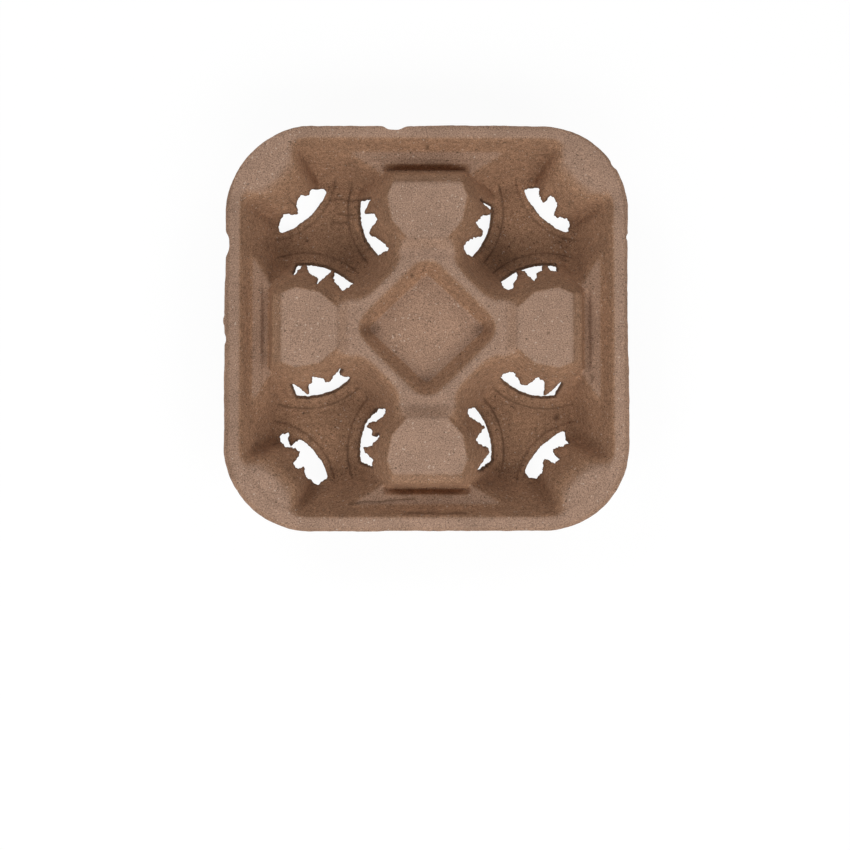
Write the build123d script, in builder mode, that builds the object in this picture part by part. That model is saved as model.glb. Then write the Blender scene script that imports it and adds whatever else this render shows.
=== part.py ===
from build123d import *
import math
import os

os.makedirs("parts", exist_ok=True)

# Four-cup carrier moulded from paper pulp in one piece.
# Frame: +X right, +Y away from the viewer, +Z up, origin under the middle of the tray.

# overall size
width = 215.9
height = 50.8
skin = 2.0
half = width / 2

# rim
rim_radius = 0.426 * half
flange_width = 8.0
flange_z = height - 3.8

# walls lean out of the mould
draft = 19.0
hub_draft = 16.5
bulge_draft = 22.5

# pillars half way along each side
ridge_z = height - 3.0
pillar_reach = 0.62 * half
pillar_radius = 0.213 * half

# eight-sided pad on top of each pillar
pad_in = pillar_reach - 0.8 * pillar_radius
pad_nose_half = 0.413 * pillar_radius
pad_shoulder_half = 0.8 * pillar_radius
pad_half = 0.94 * pillar_radius
pad_heel_half = 0.774 * pillar_radius
pad_shoulder = 0.37 * pillar_radius
pad_heel = 0.404 * pillar_radius
pad_lean = 15.0
pad_sunk = 5.0
nose_angle = 32.0

# bulges in the four corners
bulge_reach = 0.825 * half
bulge_radius = 0.1436 * half
bulge_z = height - 4.8

# hub in the middle, its square hollow and the necks to the pillars
hub_half = 0.326 * half
neck_half = 0.1436 * half
hollow_floor_half = 0.178 * half
hollow_depth = 12.0
hollow_lean = 37.2
hollow_radius = 2.0

# ledge and groove between each pillar and the outer wall,
# and the sloping strip on the pillar's edge above them
ledge_z = height - 18.0
ledge_depth = 0.097 * half
ledge_gap = 1.0
ledge_in_half = 1.044 * pillar_radius
ledge_out_half = 0.389 * half
strip_width = 0.036 * half
strip_drop = 2.5
strip_gap = 1.4
groove_width = 4.5
groove_half = 0.62 * ledge_out_half
groove_depth = 7.0
groove_draft = 9.0

# low step round the foot of each pillar and bulge
step_width = 5.0
step_rise = 1.2

# softening of the moulded edges
crest_bevel = 1.8
bulge_bevel = 3.2
valley_round = 3.0

# Torn finger slots. Each has the bearing of its pillar or bulge and a list of (angle, bite):
# the angle in degrees about that pillar or bulge, and how far the ragged edge runs in
# from the smooth arc on the floor of the well.
pillar_slots = [
    (90, [(171, 0), (170, 2), (172, 7.2), (183, 2.7), (186, 4.2), (185, 6.7), (189, 9.1), (196, 10),
          (203, 3.1), (221, 7.4), (228, 6.7), (222, 0)]),
    (90, [(316, 0), (312, 7.2), (325, 7.6), (335, 3.7), (340, 4.2), (339, 7.3), (341, 9.4), (352, 6.3),
          (356, 1.5), (360, 1), (368, 8.6), (365, 0)]),
    (180, [(45, 0), (44, 7.2), (48, 8.5), (63, 3), (64, 1), (67, 1), (72, 13), (73, 8.7), (86, 6.2),
           (89, 1), (93, 1.2), (100, 8.2), (102, 6.5), (98, 0)]),
    (180, [(262, 0), (256, 7.2), (263, 6.9), (271, 2.3), (274, 2.4), (274, 6.2), (279, 7.8),
           (281, 11.3), (293, 8.4), (292, 6.3), (295, 5.5), (309, 8.5), (315, 7.2), (307, 5.7),
           (313, 1.7), (310, 0)]),
    (270, [(152, 0), (138, 3.6), (136, 7.3), (147, 6.3), (153, 2), (157, 1.8), (159, 6.3), (166, 7.2),
           (159, 10.5), (169, 7.9), (174, 7.5), (176, 2.9), (180, 3.4), (186, 8), (197, 7.5), (190, 0)]),
    (270, [(350, 0), (339, 6.7), (343, 8.8), (359, 2.8), (364, 3.2), (366, 7.1), (376, 10.3),
           (382, 1.9), (401, 7.8), (405, 5.4), (400, 0)]),
    (0, [(80, 0), (80, 5.4), (87, 4.6), (89, 1), (94, 1), (95, 4.5), (102, 6), (108, 11), (111, 6),
         (110, 3.4), (112, 1), (117, 1), (118, 3.4), (134, 8), (137, 4.7), (132, 0)]),
    (0, [(228, 0), (225, 3.2), (230, 7.4), (243, 4.5), (250, 4.6), (254, 10.8), (264, 8.5), (268, 1.3),
         (271, 1.7), (280, 7.8), (285, 7.2), (278, 0)]),
]
bulge_slots = [
    (135, [(283, 0), (282, 4.5), (291, 7), (304, 4.3), (309, 5), (311, 8), (321, 9.6), (328, 6.4),
           (341, 6), (343, 2.5), (342, 0)]),
    (45, [(196, 0), (196, 6), (209, 5), (218, 4.7), (216, 8.2), (223, 9.9), (230, 8.8), (233, 4.4),
          (240, 3.5), (242, 5.2), (255, 5.2), (254, 0)]),
    (225, [(12, 0), (8, 6.3), (19, 9.2), (33, 7.9), (35, 11.6), (44, 11.1), (47, 4.6), (56, 5.3),
           (65, 6.9), (72, 6.2), (76, 3.5), (68, 0.3), (66, 4), (60, 3.9), (60, 1), (57, 0)]),
    (315, [(110, 0), (108, 6.2), (127, 4.7), (132, 5.4), (131, 10.2), (141, 9.3), (142, 4.6),
           (167, 6.4), (167, 2.2), (163, 0)]),
]

# places where the rim is broken away: (along the edge, depth)
rim_break_back = [(-24.0, -1.0), (-20.5, 1.9), (-15.5, 2.0), (-11.0, -1.0)]
rim_break_left = [(52.0, -1.0), (48.0, 1.9), (41.0, 1.7), (37.0, -1.0)]

sides = (0, 90, 180, 270)


def spread(angle, rise):
    return rise * math.tan(math.radians(angle))


def turned(angle, z):
    return Plane.XY.offset(z).rotated((0, 0, angle))


def mirrored(points):
    return [(x, -y) for x, y in reversed(points)]


def upright(angle):
    out = Vector(1, 0, 0).rotate(Axis.Z, angle)
    return Plane(origin=(0, 0, 0), x_dir=out, z_dir=out.cross(Vector(0, 0, 1)))


bowl_half = half - flange_width
bowl_radius = rim_radius - flange_width
ledge_out = bowl_half - spread(draft, flange_z - ledge_z) - ledge_gap
ledge_in = ledge_out - ledge_depth
strip_in = ledge_in - strip_width
pad_out = strip_in - strip_gap


def island(under):
    """Hub, necks and pillars: the raised cross between the wells. Only its upper side is softened."""
    lean = under / math.cos(math.radians(draft))
    floor = skin - under
    rise = ridge_z - skin
    hub_foot = hub_half - under / math.cos(math.radians(hub_draft)) + spread(hub_draft, ridge_z - floor)
    neck_foot = neck_half - lean + spread(draft, ridge_z - floor)
    pillar_foot = pillar_radius - lean + spread(draft, ridge_z - floor)
    with BuildPart() as cross:
        with BuildSketch(Plane.XY.offset(floor)):
            Rectangle(2 * hub_foot, 2 * hub_foot, rotation=45)
        extrude(amount=rise, taper=hub_draft)
        for angle in (0, 90):
            with BuildSketch(turned(angle, floor)):
                Rectangle(2 * pillar_reach + 40, 2 * neck_foot)
            extrude(amount=rise, taper=draft)
        with Locations(Plane.XY.offset(floor)):
            with PolarLocations(pillar_reach, 4):
                Cone(
                    pillar_foot,
                    pillar_foot - spread(draft, rise),
                    rise,
                    align=(Align.CENTER, Align.CENTER, Align.MIN),
                )
        if not under:
            slanting = cross.edges().filter_by_position(Axis.Z, floor + 1, floor + rise - 1)
            valleys = slanting.filter_by(lambda e: math.hypot(e.center().X, e.center().Y) < pillar_reach)
            fillet(valleys, valley_round)
            chamfer(cross.edges().group_by(Axis.Z)[-1], crest_bevel)
    return cross


def bulge(under):
    """One corner bulge, standing on the origin: a cone with a bevelled top edge."""
    lean = under / math.cos(math.radians(bulge_draft))
    floor = skin - under
    top = bulge_z - under
    foot = bulge_radius - lean + spread(bulge_draft, bulge_z - floor)
    brow = foot - spread(bulge_draft, top - floor)
    with BuildPart() as dome:
        with BuildSketch(Plane.XZ):
            with BuildLine():
                Polyline((0, floor), (foot, floor), (brow, top), (0, top), close=True)
            profile = make_face()
            chamfer(profile.vertices().sort_by(Axis.X)[2:3], bulge_bevel - under / 2)
        revolve(axis=Axis.Z)
    return dome


def moulded_form(under):
    """Solid below the moulded surface, or below a surface lying the depth `under` beneath it."""
    lean = under / math.cos(math.radians(draft))
    floor = skin - under
    low = -2.0 * under
    rim_top = flange_z - under
    over = 4.0
    cross = island(under)
    dome = bulge(under)
    with BuildPart() as form:
        # block with the flange on top
        with BuildSketch(Plane.XY.offset(low)):
            RectangleRounded(width + 4 * under, width + 4 * under, rim_radius + 2 * under)
        extrude(amount=rim_top - low)

        # open bowl inside the flange
        grow = lean + spread(draft, over - under)
        with BuildSketch(Plane.XY.offset(rim_top + over)):
            RectangleRounded(2 * (bowl_half + grow), 2 * (bowl_half + grow), bowl_radius + grow)
        extrude(amount=-(rim_top + over - floor), taper=draft, mode=Mode.SUBTRACT)

        # raised cross and corner bulges
        add(cross.part)
        with GridLocations(2 * bulge_reach, 2 * bulge_reach, 2, 2):
            add(dome.part)

        # low step on the floor round the foot of each pillar and bulge, where the pulp lies thicker
        if not under:
            pillar_step = pillar_radius + spread(draft, ridge_z - floor) + step_width
            bulge_step = bulge_radius + spread(bulge_draft, bulge_z - floor) + step_width
            base = (Align.CENTER, Align.CENTER, Align.MIN)
            with Locations(Plane.XY.offset(floor)):
                with PolarLocations(pillar_reach, 4):
                    Cone(pillar_step + step_rise, pillar_step, step_rise, align=base)
                with GridLocations(2 * bulge_reach, 2 * bulge_reach, 2, 2):
                    Cone(bulge_step + step_rise, bulge_step, step_rise, align=base)

        # webs that join the pillars to the outer wall, flat on top as a ledge
        web_edge = [
            (pillar_reach, neck_half),
            (ledge_in, ledge_in_half),
            (ledge_out, ledge_out_half),
            (half - flange_width / 2, ledge_out_half),
        ]
        for angle in sides:
            with BuildSketch(turned(angle, ledge_z - under)):
                with BuildLine():
                    Polyline(*web_edge, *mirrored(web_edge), close=True)
                make_face()
                if under:
                    offset(amount=spread(draft, under) - lean, mode=Mode.REPLACE)
            extrude(amount=-(ledge_z - under - floor), taper=-draft)

        # outer face of each pillar above the ledge, with a sloping strip along its top edge
        face_run = spread(groove_draft, ridge_z - strip_drop - ledge_z)
        for angle in sides:
            with BuildSketch(upright(angle)):
                with BuildLine():
                    Polyline(
                        (strip_in, ridge_z + over),
                        (strip_in, ridge_z),
                        (ledge_in, ridge_z - strip_drop),
                        (ledge_in + face_run, ledge_z),
                        (ledge_out, ledge_z),
                        (ledge_out, ridge_z + over),
                        close=True,
                    )
                make_face()
                if under:
                    offset(amount=under, kind=Kind.INTERSECTION, mode=Mode.REPLACE)
            extrude(amount=32, both=True, mode=Mode.SUBTRACT)

        # groove along the inner side of each ledge
        groove_mid = ledge_in + face_run + groove_width / 2
        wide = 2 * (under / math.cos(math.radians(groove_draft)) - spread(groove_draft, under))
        for angle in sides:
            with BuildSketch(turned(angle, ledge_z - under)):
                with Locations((groove_mid, 0)):
                    Rectangle(groove_width + wide, 2 * groove_half + wide)
            extrude(amount=-groove_depth, taper=groove_draft, mode=Mode.SUBTRACT)

        # square hollow in the hub
        hollow_z = ridge_z - hollow_depth - under
        hollow = hollow_floor_half + under / math.cos(math.radians(hollow_lean)) - spread(hollow_lean, under)
        with BuildSketch(Plane.XY.offset(hollow_z)) as hollow_floor:
            Rectangle(2 * hollow, 2 * hollow, rotation=45)
            if not under:
                fillet(hollow_floor.vertices(), hollow_radius)
        extrude(amount=hollow_depth + over, taper=-hollow_lean, mode=Mode.SUBTRACT)

        # ramp from the nose of each pad down to the neck
        slope = math.tan(math.radians(nose_angle))
        ramp_run = (height - ridge_z) / slope
        nose = pad_in + under * (1 / math.cos(math.radians(nose_angle)) - 1) / slope
        for angle in sides:
            with BuildSketch(upright(angle)):
                with BuildLine():
                    Polyline(
                        (nose, height - under),
                        (nose - ramp_run, ridge_z - under),
                        (nose - ramp_run, ridge_z - under - pad_sunk),
                        (nose + ramp_run, ridge_z - under - pad_sunk),
                        (nose + ramp_run, height - under),
                        close=True,
                    )
                make_face()
            extrude(amount=pad_nose_half - under, both=True)

        # pads on the pillars
        pad_edge = [
            (pad_in, pad_nose_half),
            (pad_in + pad_shoulder, pad_shoulder_half),
            (pad_out - pad_heel, pad_half),
            (pad_out, pad_heel_half),
        ]
        pad_rise = height - ridge_z + pad_sunk
        pad_grow = spread(pad_lean, pad_rise + under) - under / math.cos(math.radians(pad_lean))
        for angle in sides:
            with BuildSketch(turned(angle, ridge_z - under - pad_sunk)):
                with BuildLine():
                    Polyline(*pad_edge, *mirrored(pad_edge), close=True)
                make_face()
                offset(amount=pad_grow, kind=Kind.INTERSECTION, mode=Mode.REPLACE)
            extrude(amount=pad_rise, taper=pad_lean)
    return form


pillar_arc = pillar_radius + spread(draft, ridge_z - skin) - 0.2
bulge_arc = bulge_radius + spread(bulge_draft, bulge_z - skin) + 1.6
slots = [(pillar_reach, pillar_arc, bearing, edge) for bearing, edge in pillar_slots]
slots += [(bulge_reach * math.sqrt(2), bulge_arc, bearing, edge) for bearing, edge in bulge_slots]

upper = moulded_form(0.0)
lower = moulded_form(skin)

with BuildPart() as tray:
    add(upper.part)
    add(lower.part, mode=Mode.SUBTRACT)

    # rim outline, with the places where its edge is broken away
    with BuildSketch(Plane.XY):
        RectangleRounded(width, width, rim_radius)
        with BuildLine():
            Polyline(*[(along, half - depth) for along, depth in rim_break_back], close=True)
        make_face(mode=Mode.SUBTRACT)
        with BuildLine():
            Polyline(*[(depth - half, along) for along, depth in rim_break_left], close=True)
        make_face(mode=Mode.SUBTRACT)
    extrude(amount=height, mode=Mode.INTERSECT)

    # finger slots
    for reach, arc, bearing, edge in slots:
        cx = reach * math.cos(math.radians(bearing))
        cy = reach * math.sin(math.radians(bearing))
        ring = [(arc - bite, math.radians(angle)) for angle, bite in edge]
        points = [(cx + r * math.cos(a), cy + r * math.sin(a)) for r, a in ring]
        mid = (ring[0][1] + ring[-1][1]) / 2
        with BuildSketch(Plane.XY.offset(-1)):
            with BuildLine():
                Polyline(*points)
                ThreePointArc(points[-1], (cx + arc * math.cos(mid), cy + arc * math.sin(mid)), points[0])
            make_face()
        extrude(amount=height - 4, mode=Mode.SUBTRACT)

tray.part.label = "pulp_tray"
export_step(tray.part, "parts/pulp_tray.step")
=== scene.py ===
import math

import bpy
import numpy as np
from mathutils import Matrix, Vector, geometry


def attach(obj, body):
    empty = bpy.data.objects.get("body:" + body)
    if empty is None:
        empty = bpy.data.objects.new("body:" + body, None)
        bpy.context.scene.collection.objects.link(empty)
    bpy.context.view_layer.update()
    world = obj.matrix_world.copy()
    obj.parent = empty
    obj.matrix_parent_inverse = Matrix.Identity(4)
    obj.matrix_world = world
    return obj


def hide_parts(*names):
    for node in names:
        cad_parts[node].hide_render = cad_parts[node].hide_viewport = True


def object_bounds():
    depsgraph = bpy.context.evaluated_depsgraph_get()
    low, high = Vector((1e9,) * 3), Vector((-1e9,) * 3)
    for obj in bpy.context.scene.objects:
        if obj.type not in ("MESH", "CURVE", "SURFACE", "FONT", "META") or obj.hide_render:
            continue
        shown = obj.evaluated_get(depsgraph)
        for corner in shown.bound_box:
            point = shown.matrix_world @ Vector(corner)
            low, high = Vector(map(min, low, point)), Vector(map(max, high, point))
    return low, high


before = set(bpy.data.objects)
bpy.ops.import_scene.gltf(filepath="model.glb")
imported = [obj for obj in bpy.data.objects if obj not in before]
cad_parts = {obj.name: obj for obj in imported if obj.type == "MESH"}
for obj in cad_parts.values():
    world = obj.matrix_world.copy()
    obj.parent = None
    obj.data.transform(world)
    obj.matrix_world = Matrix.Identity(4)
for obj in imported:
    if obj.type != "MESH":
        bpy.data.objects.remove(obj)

# Four-cup carrier of moulded paper pulp, seen from almost straight above.
# Frame: +X right, +Y away from the viewer, +Z up, origin under the middle of the tray.
# Lengths of the tray are in millimetres until its mesh is written. Floor, lamps and camera are in metres.
MM = 0.001
cad_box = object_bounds()
WIDTH = (cad_box[1].x - cad_box[0].x) / MM
HEIGHT = (cad_box[1].z - cad_box[0].z) / MM
HALF = WIDTH / 2

# levels
SKIN = 2.0
PAD_Z = HEIGHT
RIDGE_Z = HEIGHT - 3.0
FLANGE_Z = HEIGHT - 3.8
BULGE_Z = HEIGHT - 4.8
LEDGE_Z = HEIGHT - 17.3
HOLLOW_Z = RIDGE_Z - 13.4
ABOVE_PADS = PAD_Z + 1.0
FAR_BELOW = -99.0

# how far a face moves sideways for each millimetre of height
WALL_LEAN = math.tan(math.radians(19.0))
HUB_LEAN = math.tan(math.radians(16.5))
BULGE_LEAN = math.tan(math.radians(22.3))
BULGE_SIDE_LEAN = 0.17
GROOVE_LEAN = math.tan(math.radians(9.0))
GROOVE_OUTER_LEAN = 0.5
PAD_END_LEAN = 0.5
PAD_SIDE_LEAN = 0.42
NOSE_SIDE_LEAN = 0.8

# rim and flange: the flange falls gently outwards, rounds down at the rim and dips to the bulges at its brow
RIM_RADIUS = 46.0
RIM_FALL = 1.7
RIM_FALL_IN = 1.8
RIM_FALL_WIDTH = 2.2
FLANGE_WIDTH = 8.0
FLANGE_SLOPE = 0.06
FLANGE_REACH = 14.0
BROW_WIDTH = 3.0

# squeeze of the bowl sideways and towards the back and the front, over 1 for narrower and under 1 for wider
SIDE_SQUEEZE = 1.01
BACK_SQUEEZE = 0.991
FRONT_SQUEEZE = 1.003

# bulges in the corners: place, radius and breadth of the cone, then half width and pinch of its sides
BULGE_REACH = 89.1
BULGE_RADIUS = 15.7
BULGE_BREADTH = 0.7
BULGE_HALF = 22.8
BULGE_PINCH = 0.6

# hub, necks and pillars, with a saddle in each neck and a sloping strip along the outer end of each pillar
PILLAR_REACH = 67.0
PILLAR_RADIUS = 23.0
HUB_HALF = 35.2
NECK_HALF = 15.5
SADDLE_OUT = 41.0
SADDLE_LENGTH = 4.0
SADDLE_HALF = HALF / 3
SADDLE_FADE = 12.0
SADDLE_DIP = 1.6
STRIP_IN = 79.7
STRIP_DROP = 3.2

# hollow in the hub
HOLLOW_FLOOR_HALF = 20.4
HOLLOW_FLOOR_RADIUS = 2.0
HOLLOW_FLOOR_SQUEEZE = 0.92
HOLLOW_CREST_HALF = 28.0
HOLLOW_CREST_RADIUS = 9.4
HOLLOW_LEAST_BAND = 1.0
HOLLOW_OUTER_SLOPE = 1.6

# ledges, with a groove along the inner side of each
LEDGE_IN = 82.8
LEDGE_OUT = 94.1
LEDGE_IN_HALF = 24.0
LEDGE_OUT_HALF = 42.0
LEDGE_SLOPE = 0.2
LEDGE_LEVEL_IN = 5.0
WEB_START = PILLAR_REACH - 7.0
GROOVE_WIDTH = 4.5
GROOVE_HALF = 26.0
GROOVE_DEPTH = 4.8
SIDE_GROOVE_DEPTH = 1.6
GROOVE_LEVEL_SHARE = 0.72
GROOVE_END_RISE = 120.0

# pad on a pillar: half of its outline from the hub outwards as (out from the middle, half width), the
# ramp that falls from its nose, and how far it stands proud of the pillar's sides
PAD_EDGE = [(47.6, 11.0), (57.0, 19.2), (70.0, 21.7), (78.2, 18.2)]
NOSE_DROP = 0.5
NOSE_SLOPE = 0.62
PAD_PROUD = 0.6

# how widely two faces are blended where they meet
PAD_ROUND = 0.8
PAD_FOOT_ROUND = 1.0
NOSE_ROUND = 2.0
NECK_VALLEY = 17.0
PILLAR_VALLEY = 9.0
RIDGE_ROUND = 9.0
STRIP_ROUND = 0.6
FACE_ROUND = 2.0
PILLAR_END_ROUND = 0.8
BULGE_ROUND = 22.0
HOLLOW_ROUND = 2.0
CREST_ROUND = 3.5
LEDGE_ROUND = 7.0
GROOVE_ROUND = 2.0
GROOVE_EDGE_ROUND = 1.4
LEDGE_FOOT_ROUND = 3.0
FLANGE_ROUND = 0.8
WELL_ROUND = 7.0

# blends that widen: (narrow, how much wider), where they begin to widen and over how far
BULGE_VALLEY = (13.0, 10.0)
BULGE_VALLEY_FROM = 14.0
BULGE_VALLEY_OVER = 26.0
BRINK_ROUND = (6.0, 9.0)
BRINK_FROM = BULGE_RADIUS + 9.0
BRINK_OVER = 10.0
WALL_VALLEY = (4.0, 10.0)
WALL_VALLEY_FROM = 30.0
WALL_VALLEY_OVER = 10.0

# Torn finger slots. Each has the bearing of its pillar or bulge and a list of (angle, bite): the angle in
# degrees about that pillar or bulge, and how far the ragged edge runs in from the smooth arc on the floor
# of the well.
PILLAR_SLOTS = [
    (90, [(171, 0), (170, 2), (172, 7.2), (183, 2.7), (186, 4.2), (185, 6.7), (189, 9.1), (196, 10),
          (203, 3.1), (206, 3.8), (221, 7.4), (228, 6.7), (222, 0)]),
    (90, [(318, 0), (314, 2), (311, 5), (312.5, 8), (319, 8.6), (326, 7.4), (334, 3.2), (340, 3.8),
          (339, 7.3), (341, 9.4), (352, 6.3), (356, 1.5), (360, 1), (362, 2.6), (364, 6.1), (368, 8.6),
          (366, 3.3), (365, 0)]),
    (180, [(45, 0), (44, 7.2), (48, 8.5), (58, 6), (63, 3), (64, 1), (67, 1), (68, 7.2), (72, 13), (73, 8.7),
           (82, 7.8), (86, 6.2), (88, 2), (89, 1), (93, 1.2), (94, 2.5), (100, 8.2), (102, 6.5), (98, 0)]),
    (180, [(262, 0), (256, 7.2), (263, 6.9), (271, 2.3), (274, 2.4), (274, 6.2), (279, 7.8), (281, 11.3),
           (293, 8.4), (292, 6.3), (295, 5.5), (301, 6.6), (309, 8.5), (315, 7.2), (307, 5.7), (313, 1.7),
           (310, 0)]),
    (270, [(153, 0), (147, 0.4), (142, 0.9), (136.5, 3.2), (135, 6.2), (138, 7.3), (149, 5.8), (153, 2.4),
           (157, 2.4), (158.5, 6.3), (163.5, 6.8), (157, 9.6), (160, 11), (171, 8.4), (174, 7.5), (176, 2.9),
           (180, 3.4), (186, 8), (197, 7.5), (190, 0)]),
    (270, [(350, 0), (339, 6.7), (343, 8.8), (359, 2.8), (364, 3.2), (366, 7.1), (376, 10.3), (379, 7.1),
           (382, 1.9), (387, 3.6), (401, 7.8), (405, 5.4), (400, 0)]),
    (0, [(80, 0), (80, 5.4), (87, 4.6), (88, 1.6), (89, 1), (94, 1), (95, 4.5), (102, 6), (108, 11),
         (111, 6), (110, 3.4), (112, 1), (117, 1), (118, 3.4), (134, 8), (137, 4.7), (132, 0)]),
    (0, [(228, 0), (225, 3.2), (230, 7.4), (243, 4.5), (250, 4.6), (254, 10.8), (264, 8.5), (268, 1.3),
         (271, 1.7), (280, 7.8), (285, 7.2), (280, 1.9), (278, 0)]),
]
BULGE_SLOTS = [
    (135, [(283, 0), (282, 4.5), (291, 7), (304, 4.3), (309, 5), (311, 8), (321, 9.6), (328, 6.4), (341, 6),
           (343, 2.5), (342, 0)]),
    (45, [(196, 0), (196, 6), (209, 5), (218, 4.7), (216, 8.2), (223, 9.9), (230, 8.8), (233, 4.4),
          (240, 3.5), (242, 5.2), (255, 5.2), (254, 0)]),
    (225, [(12, 0), (8, 6.3), (19, 9.2), (33, 7.9), (35, 11.6), (44, 11.1), (47, 4.6), (56, 5.3), (65, 6.9),
           (72, 6.2), (76, 3.5), (69, 0.6), (66.5, 3.6), (60, 3.6), (59, 1), (56, 0)]),
    (315, [(110, 0), (108, 6.2), (127, 4.7), (132, 5.4), (131, 10.2), (141, 9.3), (142, 4.6), (154, 6.5),
           (167, 6.4), (167, 2.2), (163, 0)]),
]

# arcs of the slots, a little in or out from where the faces of pillars and bulges meet the floor
PILLAR_ARC_IN = 0.2
BULGE_ARC_OUT = 1.6
PILLAR_ARC = PILLAR_RADIUS + (RIDGE_Z - SKIN) * WALL_LEAN - PILLAR_ARC_IN
BULGE_ARC = BULGE_RADIUS + (BULGE_Z - SKIN) * BULGE_LEAN + BULGE_ARC_OUT
ARC_POINTS = 24
SMOOTHING = (-2, -1, 0, 1, 2)

# how far the edge of a slot is shaken, where it counts as torn, and the two random fields that shake it
TEAR_SHAKE = 0.45
ARC_SHAKE = 0.14
TORN_FROM = 0.6
COARSE_SHAKE = (1.0, 1.3)
FINE_SHAKE = (0.8, 0.7)
PILLAR_SLOT_SEED = 20
BULGE_SLOT_SEED = 40
FINE_SHAKE_SEED = 100

# step round the foot of each pillar and bulge
STEP_WIDTH = 5.0
STEP_RISE = 1.2
PILLAR_STEP = PILLAR_ARC + STEP_WIDTH + 1.0
BULGE_STEP = BULGE_ARC + STEP_WIDTH - 1.0

# worn places on the rim: (x, y, length along the edge, depth), a negative depth being a bump
RIM_NICKS = [
    (-17.5, 107.9, 5.0, 2.1),
    (-107.9, 44.5, 5.5, 2.1),
    (-107.9, 3.8, 2.2, -0.7),
    (-107.9, -6.0, 2.4, 0.7),
    (99.7, 87.1, 2.2, 0.9),
    (107.9, 48.7, 1.6, 0.7),
    (-92.0, 95.0, 22.0, 0.9),
    (-107.9, 60.0, 38.0, 0.5),
    (107.9, 25.0, 45.0, 0.6),
    (28.0, 107.9, 30.0, -0.5),
]

# random fields, each a sum of (height, size, seed): wear all along the rim, and lumps of the whole surface
RIM_WEAR = 0.1
RIM_WAVES = [(0.2, 12.0, 7), (0.12, 2.5, 8)]
LUMPS = [(0.16, 9.0, 1), (0.12, 3.5, 2), (0.07, 1.4, 3)]

# lattice of the random fields: how far before the middle it begins, and how far it spans
CLOUD_START = 1.2 * WIDTH
CLOUD_SPAN = 2.6 * WIDTH

# fine cracks, each a line of points (x, y)
CRACKS = [
    [(-54.5, 73.0), (-48.0, 73.8), (-41.5, 72.6), (-36.0, 73.4), (-30.5, 72.0)],
    [(-49.0, 65.6), (-43.0, 64.4), (-37.5, 65.4)],
    [(-74.2, 70.2), (-71.5, 67.6), (-69.6, 65.0)],
    [(88.4, -24.6), (90.0, -26.6), (89.2, -29.0)],
    [(-12.0, -98.6), (-2.0, -98.2), (9.0, -98.8), (20.0, -98.3)],
    [(-42.0, -94.1), (-34.0, -93.0), (-25.3, -93.2), (-16.0, -92.0), (-6.3, -91.6)],
    [(-43.5, 61.0), (-47.5, 60.2), (-52.0, 61.2)],
    [(-84.0, -63.0), (-79.5, -61.4), (-75.0, -62.2)],
]

# painted shade along creases of the ledges, each a line of points (x, y)
CREASES = [
    [(-43.0, 91.0), (39.0, 91.0)],
    [(-88.8, 31.0), (-88.8, -36.0)],
    [(-85.0, 29.0), (-85.0, -31.0)],
    [(88.4, 31.0), (88.4, -34.0)],
    [(85.2, 29.0), (85.2, -30.0)],
]

# small dark pits: (x, y, radius)
PITS = [(73.3, -48.5, 1.6), (-8.1, 28.0, 0.8), (0.4, 97.6, 0.8), (64.0, -3.0, 0.6), (-2.0, 31.0, 0.6)]
PIT_STRENGTH = 0.9

# darker spots on the necks, and painted shade in the corners of the hollow: (x, y, radius, strength), each
# longer sideways
NECK_SPOTS_AND_HOLLOW_SHADE = [
    (-7.0, -41.6, 2.2, 0.28), (-1.0, -42.0, 1.8, 0.24), (5.0, -41.2, 2.4, 0.28), (9.0, -41.8, 1.6, 0.24),
    (0.0, -41.5, 8.0, 0.16), (-7.5, 41.8, 1.8, 0.22), (-2.5, 41.5, 1.5, 0.2), (3.0, 42.0, 1.8, 0.22),
    (-30.4, -0.6, 3.6, 0.4), (29.6, -0.4, 3.4, 0.38), (0.0, -27.5, 3.4, 0.2),
]
SPOT_LENGTH = 1.4

# darkening along lines: (strength, width)
# painted shade along the edges of the slots, stronger along their torn parts
SLOT_EDGE_SHADE = (0.2, 0.4)
TORN_EDGE_SHADE = (0.7, 0.5)
# painted shade in the crease of the step round each pillar and bulge
PILLAR_STEP_SHADE = (0.9, 0.55)
BULGE_STEP_SHADE = (0.5, 0.55)
# painted shade along the outlines of the pads
PAD_EDGE_SHADE = (0.22, 0.5)
CRACK_MARK = (0.7, 0.45)
# painted shade along the creases of the ledges
CREASE_SHADE = (0.22, 0.6)

# the painted shade of the steps runs only on the floor of the wells, unevenly, and nearer to a bulge than
# its step
WELL_TOP = 6.0
STEP_SHADE_SHARE = 0.75
STEP_SHADE_CLOUD = (0.25, 6.0, 11)
BULGE_SHADE_IN = 1.5

# painted shade on the left flange: its strength, where it begins, and how far it runs along the side
LEFT_SHADE = 0.13
LEFT_SHADE_FROM = 97.5
LEFT_SHADE_EDGE = 3.0
LEFT_SHADE_HALF = 80.0
LEFT_SHADE_FADE = 12.0

# how far to each side the slope is measured
SLOPE_REACH = 1.5

# how deep a mark sinks, how the edge of a slot curls down where it is steep, and the least skin
MARK_SINK = 0.3
EDGE_CURL = 0.7
CURL_WIDTH = 2.2
CURL_STEEPNESS = 1.6
LEAST_SKIN = 0.5

# where the pulp turns browner and a little darker, partly its own tone and partly painted shade of the
# slopes and
# wells: below a level, over a depth, and where the normal's upward share is less than a value, over a range
BROWN_BELOW = FLANGE_Z - 5.0
BROWN_DEPTH = 24.0
BROWN_UPRIGHT = 0.985
BROWN_LEANING = 0.4

# tones of the pulp
LEVEL_TONE = (0.332, 0.212, 0.15, 1)
BROWN_TONE = (0.335, 0.19, 0.113, 1)
DARK_FIBRE = (0.07, 0.045, 0.03, 1)
PALE_FIBRE = (0.6, 0.47, 0.38, 1)
# darkest tone, laid on the marks and as painted shade
MARK_AND_SHADE_TONE = (0.1, 0.052, 0.03, 1)

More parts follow.
